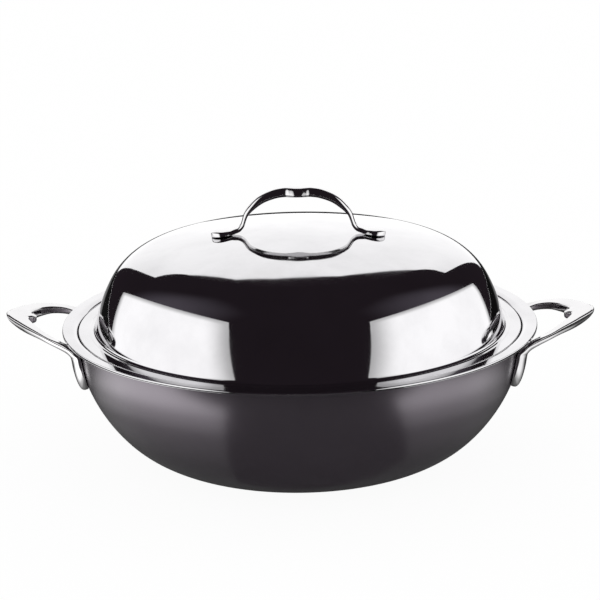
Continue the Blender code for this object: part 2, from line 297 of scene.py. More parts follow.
def turningMarks(tree, drop, streak, spacing):
    # Marks that run round Z: drop is -1 where the sheet falls away from the axis, and 1 where it rises
    place = addNode(tree, "TexCoord").outputs["Object"]
    split = addNode(tree, "SeparateXYZ", {0: place})
    flat = addNode(tree, "CombineXYZ", {0: split.outputs["X"], 1: split.outputs["Y"]})
    radius = addNode(tree, "VectorMath", {0: flat.outputs[0]}, operation="LENGTH")
    direction = addNode(tree, "VectorMath", {0: flat.outputs[0]}, operation="NORMALIZE")
    stretched = addNode(tree, "VectorMath", {
        0: direction.outputs[0],
        "Scale": streak * mm,
    }, operation="SCALE")
    rise = addNode(tree, "Math", {0: split.outputs["Z"], 1: drop}, operation="MULTIPLY")
    run = addNode(tree, "Math", {0: radius.outputs["Value"], 1: rise.outputs[0]}, operation="ADD")
    along = addNode(tree, "CombineXYZ", {2: run.outputs[0]})
    joined = addNode(tree, "VectorMath", {0: stretched.outputs[0], 1: along.outputs[0]}, operation="ADD")
    return addNode(tree, "TexNoise", {"Vector": joined.outputs[0], "Scale": perMetre(spacing), "Detail": 3})


# Hard-anodised aluminium, pressed, blasted fine and dyed grey: a soft, slightly violet sheen, with
# a grain that breaks reflections up and thin marks round the axis from the lathe under it.
anodisedShell = {
    "colour": "#665f67",
    "paler": "#6f6870",
    "metal": 0.83,             # the rest is light scattered in the dyed pores
    "roughness": (0.27, 0.33),
    "filmWeight": 0.6,         # the clear oxide film, smoother than the metal under it
    "filmIor": 1.7,
    "filmRoughness": 0.2,
    "grain": 0.8,              # mm, real blasting grit is about 0.1 and wouldn't show
    "grainDepth": 0.004,       # mm
    "clouds": 45,              # mm, uneven dye
    "markSpacing": 0.9,        # mm between turning marks, real ones are about 0.2
    "markLength": 6,
    "markDepth": 0.0025,       # mm
}


def anodisedAluminium():
    values = anodisedShell
    material, tree = newMaterial("anodised aluminium, blasted")
    place = addNode(tree, "TexCoord").outputs["Object"]
    clouds = addNode(tree, "TexNoise", {"Vector": place, "Scale": perMetre(values["clouds"]), "Detail": 2})
    grain = addNode(tree, "TexNoise", {"Vector": place, "Scale": perMetre(values["grain"]), "Detail": 2})
    marks = turningMarks(tree, 1, values["markLength"], values["markSpacing"])
    colour = addNode(tree, "Mix", {
        "Factor": clouds.outputs["Fac"],
        "A": linear(values["colour"]),
        "B": linear(values["paler"]),
    }, data_type="RGBA")
    low, high = values["roughness"]
    roughness = addNode(tree, "MapRange", {"Value": grain.outputs["Fac"], "To Min": low, "To Max": high})
    blasted = addNode(tree, "Bump", {
        "Strength": 1,
        "Distance": values["grainDepth"] * mm,
        "Height": grain.outputs["Fac"],
    })
    turned = addNode(tree, "Bump", {
        "Strength": 1,
        "Distance": values["markDepth"] * mm,
        "Height": marks.outputs["Fac"],
        "Normal": blasted.outputs[0],
    })
    shader = addNode(tree, "BsdfPrincipled", {
        "Base Color": colour.outputs["Result"],
        "Metallic": values["metal"],
        "Roughness": roughness.outputs[0],
        "Normal": turned.outputs[0],
        "Coat Weight": values["filmWeight"],
        "Coat Roughness": values["filmRoughness"],
        "Coat IOR": values["filmIor"],
        "Coat Normal": turned.outputs[0],
    })
    addNode(tree, "OutputMaterial", {"Surface": shader.outputs[0]})
    return material


# Stainless steel, spun to shape and polished: a mirror that bends a little where the sheet was
# worked, with the finest marks round the axis and a breath of wiping smears.
spunLid = {
    "colour": "#d2d1d3",
    "smear": "#c8c7c9",
    "roughness": (0.035, 0.07),
    "smearSize": 38,           # mm
    "markSpacing": 1.1,        # mm, real polishing marks are too fine to show
    "markLength": 5,
    "markDepth": 0.0003,       # mm
    "wave": 34,                # mm between the sheet's soft waves
    "waveDepth": 0.0012,       # mm
    "drop": -1,
}
spunLining = {
    "colour": "#cfcdcc",
    "smear": "#bcbab8",
    "roughness": (0.09, 0.15),
    "smearSize": 30,
    "markSpacing": 1.0,
    "markLength": 4,
    "markDepth": 0.003,
    "wave": 40,
    "waveDepth": 0.008,
    "drop": 1,
}


smearRange = (0.35, 0.75)


def spunSteel(name, values):
    material, tree = newMaterial(name)
    place = addNode(tree, "TexCoord").outputs["Object"]
    smears = addNode(tree, "TexNoise", {
        "Vector": place,
        "Scale": perMetre(values["smearSize"]),
        "Detail": 4,
        "Roughness": 0.6,
    })
    clean, smeared = smearRange
    faint = addNode(tree, "MapRange", {
        "Value": smears.outputs["Fac"],
        "From Min": clean,
        "From Max": smeared,
    })
    waves = addNode(tree, "TexNoise", {"Vector": place, "Scale": perMetre(values["wave"]), "Detail": 0})
    marks = turningMarks(tree, values["drop"], values["markLength"], values["markSpacing"])
    colour = addNode(tree, "Mix", {
        "Factor": faint.outputs[0],
        "A": linear(values["colour"]),
        "B": linear(values["smear"]),
    }, data_type="RGBA")
    low, high = values["roughness"]
    roughness = addNode(tree, "MapRange", {"Value": faint.outputs[0], "To Min": low, "To Max": high})
    waved = addNode(tree, "Bump", {
        "Strength": 1,
        "Distance": values["waveDepth"] * mm,
        "Height": waves.outputs["Fac"],
    })
    marked = addNode(tree, "Bump", {
        "Strength": 1,
        "Distance": values["markDepth"] * mm,
        "Height": marks.outputs["Fac"],
        "Normal": waved.outputs[0],
    })
    shader = addNode(tree, "BsdfPrincipled", {
        "Base Color": colour.outputs["Result"],
        "Metallic": 1,
        "Roughness": roughness.outputs[0],
        "Normal": marked.outputs[0],
    })
    addNode(tree, "OutputMaterial", {"Surface": shader.outputs[0]})
    return material


# Stainless steel, cast, linished and buffed by hand: bright, with the slow hollows of a casting
# and short fine scratches where hands and cloths pass.
castHandle = {
    "colour": "#d9d8d9",
    "worn": "#cfcecf",
    "roughness": (0.04, 0.08),
    "hollow": 14,              # mm between the casting's hollows
    "hollowDepth": 0.012,      # mm
    "scratch": 0.7,            # mm, real ones are finer
    "scratchDepth": 0.0001,    # mm
    "scratchScale": (0.15, 1, 1),
}


def castSteel():
    values = castHandle
    material, tree = newMaterial("stainless steel, cast and buffed")
    place = addNode(tree, "TexCoord").outputs["Object"]
    hollows = addNode(tree, "TexNoise", {"Vector": place, "Scale": perMetre(values["hollow"]), "Detail": 1})
    along = addNode(tree, "Mapping", {"Vector": place, "Scale": values["scratchScale"]})
    scratches = addNode(tree, "TexNoise", {
        "Vector": along.outputs[0],
        "Scale": perMetre(values["scratch"]),
        "Detail": 3,
    })
    colour = addNode(tree, "Mix", {
        "Factor": hollows.outputs["Fac"],
        "A": linear(values["colour"]),
        "B": linear(values["worn"]),
    }, data_type="RGBA")
    low, high = values["roughness"]
    roughness = addNode(tree, "MapRange", {"Value": scratches.outputs["Fac"], "To Min": low, "To Max": high})
    cast = addNode(tree, "Bump", {
        "Strength": 1,
        "Distance": values["hollowDepth"] * mm,
        "Height": hollows.outputs["Fac"],
    })
    buffed = addNode(tree, "Bump", {
        "Strength": 1,
        "Distance": values["scratchDepth"] * mm,
        "Height": scratches.outputs["Fac"],
        "Normal": cast.outputs[0],
    })
    shader = addNode(tree, "BsdfPrincipled", {
        "Base Color": colour.outputs["Result"],
        "Metallic": 1,
        "Roughness": roughness.outputs[0],
        "Normal": buffed.outputs[0],
    })
    addNode(tree, "OutputMaterial", {"Surface": shader.outputs[0]})
    return material


# Steel rivet, turned and set under a press: fine rings round its own axis.
pressedRivet = {
    "colour": "#b9b6b3",
    "darker": "#a29f9c",
    "roughness": (0.2, 0.3),
    "ring": 0.35,              # mm between rings
    "ringLength": 0.3,
    "ringDepth": 0.004,        # mm
}


def turnedSteel():
    values = pressedRivet
    material, tree = newMaterial("steel, turned")
    rings = turningMarks(tree, -1, values["ringLength"], values["ring"])
    colour = addNode(tree, "Mix", {
        "Factor": rings.outputs["Fac"],
        "A": linear(values["colour"]),
        "B": linear(values["darker"]),
    }, data_type="RGBA")
    low, high = values["roughness"]
    roughness = addNode(tree, "MapRange", {"Value": rings.outputs["Fac"], "To Min": low, "To Max": high})
    turned = addNode(tree, "Bump", {
        "Strength": 1,
        "Distance": values["ringDepth"] * mm,
        "Height": rings.outputs["Fac"],
    })
    shader = addNode(tree, "BsdfPrincipled", {
        "Base Color": colour.outputs["Result"],
        "Metallic": 1,
        "Roughness": roughness.outputs[0],
        "Normal": turned.outputs[0],
    })
    addNode(tree, "OutputMaterial", {"Surface": shader.outputs[0]})
    return material


shellFinish = anodisedAluminium()
lidFinish = spunSteel("stainless steel, spun and mirror polished", spunLid)
liningFinish = spunSteel("stainless steel, spun and satin polished", spunLining)
rimFinish = lidFinish
handleFinish = castSteel()
rivetFinish = turnedSteel()
print("finishes made")


# Wok body: one clad sheet, anodised outside, bare steel inside and round the rim
wok = {
    "depth": 110.0 * mm,
    "wall": 2.3 * mm,
    "rimRadius": 188.5 * mm,
    "rimFlare": 10.2 * mm,
    "rimBend": 5.0 * mm,
    "neckSlope": radians(87.7),
    "baseRadius": 83.0 * mm,
    "knuckleTurn": radians(46),
    "noseFullness": 4,
    "noseLean": 0.24,
    "steps": 24,
    "noseSteps": 16,
    "turns": 256,
}
wok["neckRadius"] = wok["rimRadius"] - wok["rimFlare"]
seatGap = 0.3 * mm
rivetGap = 0.3 * mm


def wokUnderside(steps):
    bend = wok["rimBend"] - wok["wall"]
    slope, turn = wok["neckSlope"], wok["knuckleTurn"]
    neckHeight = wok["depth"] - wok["wall"] - bend * (1 - cos(slope))
    knuckle, wall = solvePair(
        sin(turn), sin(slope) - sin(turn),
        1 - cos(turn), cos(turn) - cos(slope),
        wok["neckRadius"] - wok["baseRadius"], neckHeight,
    )
    samples = follow(
        (0, 0, 0),
        (wok["baseRadius"],),
        (knuckle, turn, steps),
        (wall, slope - turn, steps),
        (bend, -slope, max(steps // 3, 3)),
    )
    return samples + follow(samples[-1], (wok["rimRadius"] - wok["wall"] / 2 - samples[-1][0],))[1:]


def wallAt(depth):
    height = wok["depth"] - depth
    samples = wokUnderside(2 * wok["steps"])
    for (x0, z0, a0), (x1, z1, a1) in zip(samples[1:], samples[2:]):
        if z0 <= height <= z1:
            share = (height - z0) / (z1 - z0)
            return x0 + (x1 - x0) * share, a0 + (a1 - a0) * share


def wokMesh():
    noseShape = (wok["noseSteps"], wok["noseFullness"], wok["noseLean"])
    upper, nose, lower = sheetSection(wokUnderside(wok["steps"]), wok["wall"], *noseShape)
    lining = sum(1 for point in upper if point[0] < wok["neckRadius"] - wok["wall"] and point[3] < 0.999)
    lining += sum(1 for point in upper if point[0] <= wok["baseRadius"])
    finishes = [2] * lining + [1] * (len(upper) + len(nose) - lining) + [0] * (len(lower) - 1)
    return turnedMesh("wok_body", upper + nose + lower, wok["turns"], finishes)


# Side handles: cast loops that bow down from the rim, turn under it and hug the wall in two pads.
# The loop's outside and opening are given as distances back from the tip and half widths.
sideHandle = {
    "reach": 45.2 * mm,
    "rise": 8.9 * mm,
    "tilt": radians(1.9),
    "bow": 113.0 * mm,
    "padAngle": radians(15.4),
    "padWidth": 18.5 * mm,
    "padThickness": 6.7 * mm,
    "padTop": 14.0 * mm,
    "padFoot": 40.6 * mm,
    "innerFullness": 4,
    "parts": 8,
    "loop": (
        ((0.0, 0.0), (23.8, 0.0), 6.8),
        ((0.35, 3.3), (23.0, 2.4), 6.9),
        ((1.3, 6.9), (20.8, 3.9), 7.2),
        ((3.3, 11.3), (18.7, 6.6), 7.8),
        ((6.6, 16.6), (19.4, 10.6), 8.3),
        ((11.6, 23.6), (21.9, 16.6), 8.5),
        ((18.6, 32.4), (26.3, 24.8), 7.7),
        ((27.6, 40.9), (33.4, 34.4), 6.4),
        ((38.4, 49.0), (43.3, 42.4), 5.6),
    ),
    # Degrees short of the pad, distance out, depth, slope, skew, width and thickness
    "shoulder": (
        (0.6, 9.6, 4.2, 35, 32, 10.4, 5.8),
        (0.2, 4.4, 7.4, 55, 14, 14.0, 6.4),
        (0.0, 1.4, 10.8, 72, 4, 17.0, 6.7),
    ),
    # Shares of the pad's length, width and thickness
    "pad": (
        (0.04, 0.98, 1.0),
        (0.36, 1.0, 1.0),
        (0.66, 0.94, 0.98),
        (0.86, 0.72, 0.9),
        (0.96, 0.42, 0.74),
        (1.0, 0.16, 0.56),
    ),
    # Half of the section's top and its bevel, in shares of half the width and half the thickness
    "topSide": (
        (0, 1), (0.45, 1), (0.76, 1), (0.81, 0.985), (0.845, 0.95), (0.94, 0.845),
        (0.975, 0.8), (0.995, 0.75), (1, 0.7),
    ),
    "bellyTop": 0.45,
    "bellySteps": 11,
}


def flatTopped(innerFullness=2):
    # Section with a flat top, a buffed bevel between two tight rounds and a full belly, in shares of
    # its half width and half thickness. Its inner side is blunter as the fullness grows
    start = sideHandle["bellyTop"]
    angles = np.linspace(0, pi / 2, sideHandle["bellySteps"])[:-1]
    sides = []
    for fullness in (2, innerFullness):
        power = 2 / fullness
        belly = [(cos(a) ** power, start - (1 + start) * sin(a) ** power) for a in angles]
        sides.append(list(sideHandle["topSide"]) + belly)
    outer, inner = sides
    return outer + [(0, -1)] + [(-across, up) for across, up in inner[:0:-1]]


def plateRing(outside, opening, thickness):
    tip = wok["rimRadius"] + sideHandle["reach"]
    ring = []
    for across, up in flatTopped(sideHandle["innerFullness"]):
        share = (1 + across) / 2
        back = (opening[0] + (outside[0] - opening[0]) * share) * mm
        side = (opening[1] + (outside[1] - opening[1]) * share) * mm
        drop = back * tan(sideHandle["tilt"]) + back**2 / (2 * sideHandle["bow"])
        height = wok["depth"] + sideHandle["rise"] - drop
        ring.append(Vector((tip - back, side, height + (up - 1) * thickness * mm / 2)))
    return ring


def strapRing(angle, radius, depth, slope, skew, width, thickness):
    ring = []
    for across, up in flatTopped():
        along = across * width / 2
        out = (1 - up) * thickness / 2
        r = radius + along * sin(skew) * cos(slope) + out * sin(slope)
        z = wok["depth"] - depth + along * sin(skew) * sin(slope) - out * cos(slope)
        turn = angle + along * cos(skew) / radius
        ring.append(Vector((r * cos(turn), r * sin(turn), z)))
    return ring


def sideHandleMesh(name):
    rings = [plateRing(*station) for station in sideHandle["loop"]]
    angle = sideHandle["padAngle"]
    for short, out, depth, slope, skew, width, thickness in sideHandle["shoulder"]:
        rings.append(strapRing(
            angle - radians(short), wok["neckRadius"] + out * mm, depth * mm,
            radians(slope), radians(skew), width * mm, thickness * mm,
        ))
    for down, width, thickness in sideHandle["pad"]:
        depth = sideHandle["padTop"] + down * (sideHandle["padFoot"] - sideHandle["padTop"])
        radius, slope = wallAt(depth)
        rings.append(strapRing(
            angle, radius + seatGap, depth, slope, 0,
            width * sideHandle["padWidth"], thickness * sideHandle["padThickness"],
        ))
    return castMesh(name, rings, 1, sideHandle["parts"])


# Rivets through the wall, countersunk flush inside and blind in the pad
wallRivet = {
    "shank": 2.4 * mm,
    "head": 4.0 * mm,
    "countersink": 1.2 * mm,
    "blind": 3.4 * mm,
    "depths": {"upper": 19.0 * mm, "lower": 30.0 * mm},
    "edge": 0.15 * mm,
    "flat": 0.6,
    "turns": 48,
}


def alongAxis(point, direction):
    return Matrix.Translation(point) @ direction.to_track_quat("Z", "Y").to_matrix().to_4x4()


def wallRivetPlace(depth, angle):
    radius, slope = wallAt(depth)
    out = Vector((sin(slope), 0, -cos(slope)))
    point = Vector((radius, 0, wok["depth"] - depth)) - out * wok["wall"]
    return Matrix.Rotation(angle, 4, "Z") @ alongAxis(point, out)


def wallRivetSection(grow=0):
    length = wok["wall"] + seatGap + wallRivet["blind"]
    shank, head = wallRivet["shank"] + grow, wallRivet["head"] + grow
    section = [(0, length + grow), (shank, length + grow), (shank, wallRivet["countersink"]), (head, 0)]
    if grow:
        return section + [(head, -wok["wall"]), (0, -wok["wall"])]
    edge = wallRivet["edge"]
    return section[:3] + [(head, edge), (head - edge, 0), (head * wallRivet["flat"], 0), (0, 0)]


def latheMesh(name, points, turns):
    # A small turned piece, smooth round its axis and creased along it
    shape = bmesh.new()
    rings = []
    for x, z in points:
        if x == 0:
            rings.append([shape.verts.new((0, 0, z))] * turns)
        else:
            rings.append([shape.verts.new((x * c, x * s, z)) for c, s in aroundCircle(turns)])
    for near, far in zip(rings, rings[1:]):
        for k in range(turns):
            after = (k + 1) % turns
            corners = dict.fromkeys((near[k], near[after], far[after], far[k]))
            shape.faces.new(list(corners))
    bmesh.ops.recalc_face_normals(shape, faces=shape.faces)
    mesh = bpy.data.meshes.new(name)
    shape.to_mesh(mesh)
    shape.free()
    mesh.shade_smooth()
    return mesh


holeTurns = 48


def makeCutter(points, place):
    cutter = bpy.data.objects.new("hole", latheMesh("hole", points, holeTurns))
    cutter.matrix_world = place
    return cutter


holes = {"wok": [], "left": [], "right": []}
for side, turned in (("right", False), ("left", True)):
    for end, angle in (("front", -sideHandle["padAngle"]), ("back", sideHandle["padAngle"])):
        for level, depth in wallRivet["depths"].items():
            place = wallRivetPlace(depth, pi - angle if turned else angle)
            name = f"rivet_{side}_{end}_{level}"
            rivet = latheMesh(name, wallRivetSection(), wallRivet["turns"])
            rivet.materials.append(rivetFinish)
            addPiece(rivet, name, "wok", place)
            for key in ("wok", side):
                holes[key].append(makeCutter(wallRivetSection(rivetGap), place))
    mesh = sideHandleMesh("side_handle_" + side)
    if turned:
        mesh.transform(Matrix.Rotation(pi, 4, "Z"))
    addPiece(drilled(mesh, holes[side], handleFinish), "side_handle_" + side, "wok")
body = drilled(wokMesh(), holes["wok"], shellFinish, rimFinish, liningFinish)
addPiece(body, "wok_body", "wok")
print("wok, side handles and their rivets made")


# Lid: one spun sheet, a dome, a low ledge at its foot and a flange that drops into the rim's bend
lid = {
    "sheet": 1.2 * mm,
    "domeHeight": 75.1 * mm,
    "ledgeInset": 13.4 * mm,
    "crownTurn": radians(12.8),
    "shoulderRadius": 52.3 * mm,
    "hipSlope": radians(62),
    "footSlope": radians(77),
    "footDrop": 1.2 * mm,
    "footFillet": 2.4 * mm,
    "ledgeWidth": 1.2 * mm,
    "stepDrop": 0.4 * mm,
    "stepSlope": radians(24),
    "stepRadius": 1.2 * mm,
    "flangeDepth": 2.2 * mm,
    "rimGap": 0.8 * mm,
    "steps": 24,
    "noseSteps": 8,
    "turns": 256,
}


def lidTop(steps):
    rimBend = next(sample for sample in wokUnderside(6) if abs(sample[2] - wok["neckSlope"]) < 1e-9)
    bend = wok["rimBend"] - wok["wall"]
    bendX, bendZ = rimBend[0] + bend * sin(rimBend[2]), rimBend[1] - bend * cos(rimBend[2])
    noseZ = wok["depth"] - lid["flangeDepth"] - lid["sheet"] / 2
    reach = wok["rimBend"] + lid["rimGap"] + lid["sheet"] / 2
    noseX = bendX - sqrt(reach**2 - (noseZ - bendZ) ** 2)

    arcs = (
        (lid["shoulderRadius"], lid["crownTurn"], lid["hipSlope"]),
        (lid["footFillet"], 0, lid["footSlope"]),
    )
    crownTurn, hipSlope, footSlope = lid["crownTurn"], lid["hipSlope"], lid["footSlope"]
    crown, skirt = solvePair(
        sin(crownTurn), sin(footSlope) - sin(hipSlope),
        1 - cos(crownTurn), cos(hipSlope) - cos(footSlope),
        wok["neckRadius"] - lid["ledgeInset"] - lid["footDrop"] * cos(footSlope)
        - sum(radius * (sin(steep) - sin(shallow)) for radius, shallow, steep in arcs),
        lid["domeHeight"] - lid["footDrop"] * sin(footSlope)
        - sum(radius * (cos(shallow) - cos(steep)) for radius, shallow, steep in arcs),
    )
    step, slope = lid["stepRadius"], lid["stepSlope"]
    slopeLength = (lid["stepDrop"] - 2 * step * (1 - cos(slope))) / sin(slope)
    top = wok["depth"] - lid["flangeDepth"] + lid["stepDrop"] + lid["domeHeight"]
    samples = follow(
        (0, top, 0),
        (crown, -crownTurn, steps),
        (lid["shoulderRadius"], crownTurn - hipSlope, steps),
        (skirt, hipSlope - footSlope, steps // 2),
        (lid["footDrop"],),
        (lid["footFillet"], footSlope, steps // 3),
        (lid["ledgeWidth"],),
        (step, -slope, steps // 4),
        (slopeLength,),
        (step, slope, steps // 4),
    )
    return samples + follow(samples[-1], (noseX - samples[-1][0],))[1:]


def crownAt(x):
    steps = 12
    samples = lidTop(steps)
    radius = samples[steps][0] / sin(lid["crownTurn"])
    return samples[0][1] - radius + sqrt(radius**2 - x**2), asin(x / radius)


def lidMesh():
    sheet = lid["sheet"]
    under = [(x + sheet * sin(a), z - sheet * cos(a), a) for x, z, a in lidTop(lid["steps"])]
    upper, nose, lower = sheetSection(under, sheet, lid["noseSteps"])
    return turnedMesh("lid_shell", upper + nose + lower, lid["turns"])


# Lid handle: a cast strap that arches over the crown and lies on it in two tabs. Distance from the
# middle, height over the dome, slope, thickness, width and fullness of the outer side of each section.
lidHandle = {
    "strap": (
        (0.0, 32.0, 0, 7.3, 17.2, 5),
        (2.4, 32.0, -0.5, 7.3, 17.0, 5),
        (6.6, 32.0, -2.5, 7.4, 13.9, 5),
        (10.8, 31.8, -6.5, 7.4, 11.0, 5),
        (18.4, 30.45, -19, 7.1, 11.2, 4.5),
        (28.5, 26.3, -37, 6.5, 11.2, 3.6),
        (36.3, 19.7, -56, 5.0, 10.8, 2.6),
        (40.7, 14.1, -72, 3.9, 10.4, 2.4),
        (42.7, 8.7, -79, 3.4, 10.2, 2.4),
        (44.0, 5.1, -68, 3.4, 10.2, 2.6),
        (46.6, 2.0, -40, 3.5, 10.2, 3),
        (50.5, 0.4, -14, 3.6, 10.4, 4),
    ),
    # Distance from the middle, thickness and width
    "tab": (
        (53.2, 3.7, 12.2),
        (56.2, 3.9, 14.8),
        (59.0, 4.1, 17.0),
        (61.4, 4.3, 17.2),
        (64.4, 4.4, 14.6),
        (66.6, 4.2, 10.8),
        (68.0, 3.8, 6.4),
        (68.3, 3.4, 4.0),
    ),
    "tabFullness": 5,
    "underside": 5,
    "taper": 0.09,
    "parts": 10,
}


def strapSection(fullness):
    # A rounded oblong, blunter as fullness grows, narrower on its outer side
    half = []
    for a in np.linspace(0, pi, 25):
        power = 2 / (fullness if a < pi / 2 else lidHandle["underside"])
        up = abs(cos(a)) ** power * (1 if a < pi / 2 else -1)
        half.append((abs(sin(a)) ** power * (1 - lidHandle["taper"] * (1 + up)), up))
    return half + [(-across, up) for across, up in half[-2:0:-1]]


def lidHandleMesh():
    top, _ = crownAt(0)
    stations = [(x * mm, top + z * mm, radians(slope), t * mm, w * mm, fullness)
                for x, z, slope, t, w, fullness in lidHandle["strap"]]
    for x, thickness, width in lidHandle["tab"]:
        height, slope = crownAt(x * mm)
        lift = seatGap + thickness * mm / 2
        stations.append((x * mm, height + lift, -slope, thickness * mm, width * mm, lidHandle["tabFullness"]))
    rings = []
    for x, z, slope, thickness, width, fullness in stations:
        ring = []
        for across, up in strapSection(fullness):
            lift = up * thickness / 2
            ring.append(Vector((x - lift * sin(slope), across * width / 2, z + lift * cos(slope))))
        rings.append(ring)
    return castMesh("lid_handle", rings, 0, lidHandle["parts"])


# Rivets of the lid's handle, with low domed heads under the lid
lidRivet = {
    "shank": 1.9 * mm,
    "head": 3.6 * mm,
    "rise": 1.1 * mm,
    "domeTurn": pi * 0.45,
    "blind": 1.8 * mm,
    "places": {"inner": 56.3 * mm, "outer": 64.0 * mm},
    "turns": 48,
}


def lidRivetPlace(x):
    height, slope = crownAt(abs(x))
    lean = slope * (1 if x > 0 else -1)
    up = Vector((sin(lean), 0, cos(lean)))
    return alongAxis(Vector((x, 0, height)) - up * lid["sheet"], up)


def lidRivetSection(grow=0):
    length = lid["sheet"] + seatGap + lidRivet["blind"]
    shank = lidRivet["shank"] + grow
    if grow:
        return [(0, length + grow), (shank, length + grow), (shank, -lid["sheet"]), (0, -lid["sheet"])]
    radius, rise = lidRivet["head"], lidRivet["rise"]
    head = [(radius * cos(a), -seatGap - rise * sin(a)) for a in np.linspace(0, lidRivet["domeTurn"], 8)]
    return [(0, length), (shank, length), (shank, -seatGap)] + head + [(0, -seatGap - rise)]


lidHoles = {"lid_shell": [], "lid_handle": []}
for side, sign in (("right", 1), ("left", -1)):
    for level, x in lidRivet["places"].items():
        place = lidRivetPlace(sign * x)
        name = f"lid_rivet_{side}_{level}"
        rivet = latheMesh(name, lidRivetSection(), lidRivet["turns"])
        rivet.materials.append(rivetFinish)
        addPiece(rivet, name, "lid", place)
        for cutters in lidHoles.values():
            cutters.append(makeCutter(lidRivetSection(rivetGap), place))
addPiece(drilled(lidMesh(), lidHoles["lid_shell"], lidFinish), "lid_shell", "lid")
addPiece(drilled(lidHandleMesh(), lidHoles["lid_handle"], handleFinish), "lid_handle", "lid")
for cutter in [cutter for cutters in (*holes.values(), *lidHoles.values()) for cutter in cutters]:
    bpy.data.objects.remove(cutter)
print("lid, its handle and rivets made")


# Studio: a pale floor, and cards and flags that only show in the metal
studio = {
    "floorSize": 8.0,
    "floorColour": "#fafafa",
    "floorWhite": (0.95, 0.3, 0.3),
    "worldLight": 1.0,
    "tentColour": "#241e23",
    "softboxLight": 1.5,
    "softboxBorder": 0.45,
    "softboxEdge": ((0.06, 0.3), (0.03, 0.15)),
    "spillColour": "#544f57",
    "spillEdge": ((0.3, 0.7), (0.02, 0.98)),
}


def cardMesh(name, points, faces):
    mesh = bpy.data.meshes.new(name)
    mesh.from_pydata(points, [], faces)
    return mesh


def addStage(name, mesh, material, onlyReflected=True):
    mesh.materials.append(material)
    card = bpy.data.objects.new(name, mesh)
    scene.collection.objects.link(card)
    if onlyReflected:
        card.visible_camera = False
        card.visible_diffuse = False
        card.visible_transmission = False
        card.visible_volume_scatter = False
        card.visible_shadow = False


def shownAs(tree, camera, glossy, transmission):
    # How much of a surface is plain white light to each kind of ray
    path = addNode(tree, "LightPath")
    kinds = {"Is Camera Ray": camera, "Is Glossy Ray": glossy, "Is Transmission Ray": transmission}
    shares = [
        addNode(tree, "Math", {0: path.outputs[name], 1: share}, operation="MULTIPLY").outputs[0]
        for name, share in kinds.items()
    ]
    part = addNode(tree, "Math", {0: shares[0], 1: shares[1]}, operation="ADD")
    return addNode(tree, "Math", {0: part.outputs[0], 1: shares[2]}, operation="ADD").outputs[0]


def paleFloor():
    material, tree = newMaterial("pale paper sweep")
    colour = linear(studio["floorColour"])
    matt = addNode(tree, "BsdfDiffuse", {"Color": colour})
    white = addNode(tree, "Emission", {"Color": (1, 1, 1, 1), "Strength": 1})
    share = shownAs(tree, *studio["floorWhite"])
    mixed = addNode(tree, "MixShader", {0: share, 1: matt.outputs[0], 2: white.outputs[0]})
    addNode(tree, "OutputMaterial", {"Surface": mixed.outputs[0]})
    return material


# A flat dark glow: the tent's black cloth, and the painted shade of the black card
def darkClothAndPaintedShade(name, colour):
    material, tree = newMaterial(name)
    dark = addNode(tree, "Emission", {"Color": colour, "Strength": 1})
    addNode(tree, "OutputMaterial", {"Surface": dark.outputs[0]})
    return material


def litPanel(name, middle, border, edge):
    # Its light goes from the border's to the middle's over a share of the panel at each end
    material, tree = newMaterial(name)
    place = addNode(tree, "UVMap").outputs[0]
    split = addNode(tree, "SeparateXYZ", {0: place})
    rises = []
    for axis, (low, high) in zip("XY", edge):
        inward = addNode(tree, "Math", {0: 1, 1: split.outputs[axis]}, operation="SUBTRACT")
        for value, share in ((split.outputs[axis], low), (inward.outputs[0], high)):
            rises.append(addNode(tree, "MapRange", {"Value": value, "From Max": share},
                                 interpolation_type="SMOOTHSTEP"))
    share = rises[0].outputs[0]
    for rise in rises[1:]:
        share = addNode(tree, "Math", {0: share, 1: rise.outputs[0]}, operation="MULTIPLY").outputs[0]
    colour = addNode(tree, "Mix", {"Factor": share, "A": border, "B": middle}, data_type="RGBA")
    glow = addNode(tree, "Emission", {"Color": colour.outputs["Result"], "Strength": 1})
    addNode(tree, "OutputMaterial", {"Surface": glow.outputs[0]})
    return material


def panelMesh(name, corners, cells=12):
    # A four-sided panel with an even grid, from its corners in turn
    a, b, c, d = [Vector(corner) for corner in corners]
    points = []
    for row in range(cells + 1):
        for column in range(cells + 1):
            u, v = column / cells, row / cells
            points.append((a * (1 - u) + b * u) * (1 - v) + (d * (1 - u) + c * u) * v)
    wide = cells + 1
    faces = [(r * wide + k, r * wide + k + 1, (r + 1) * wide + k + 1, (r + 1) * wide + k)
             for r in range(cells) for k in range(cells)]
    mesh = cardMesh(name, points, faces)
    uv = mesh.uv_layers.new(name="UVMap")
    for loop in mesh.loops:
        row, column = divmod(loop.vertex_index, wide)
        uv.data[loop.index].uv = (column / cells, row / cells)
    return mesh


half = studio["floorSize"] / 2
floorPoints = [(-half, -half, 0), (half, -half, 0), (half, half, 0), (-half, half, 0)]
addStage("floor", cardMesh("floor", floorPoints, [(0, 1, 2, 3)]), paleFloor(), onlyReflected=False)

cloth = darkClothAndPaintedShade("black cloth", linear(studio["tentColour"]))
# A black tent over the whole set, open only where the panels stand
tent = {"radius": 3.0, "height": 2.6, "foot": 0.002, "sides": 48}
ring = aroundCircle(tent["sides"], tent["radius"])
tentPoints = [(x, y, tent["foot"]) for x, y in ring] + [(x, y, tent["height"]) for x, y in ring]
sides = len(ring)
tentFaces = [(k, (k + 1) % sides, sides + (k + 1) % sides, sides + k) for k in range(sides)]
tentFaces.append(tuple(range(sides, 2 * sides)))
addStage("tent", cardMesh("tent", tentPoints, tentFaces), cloth)

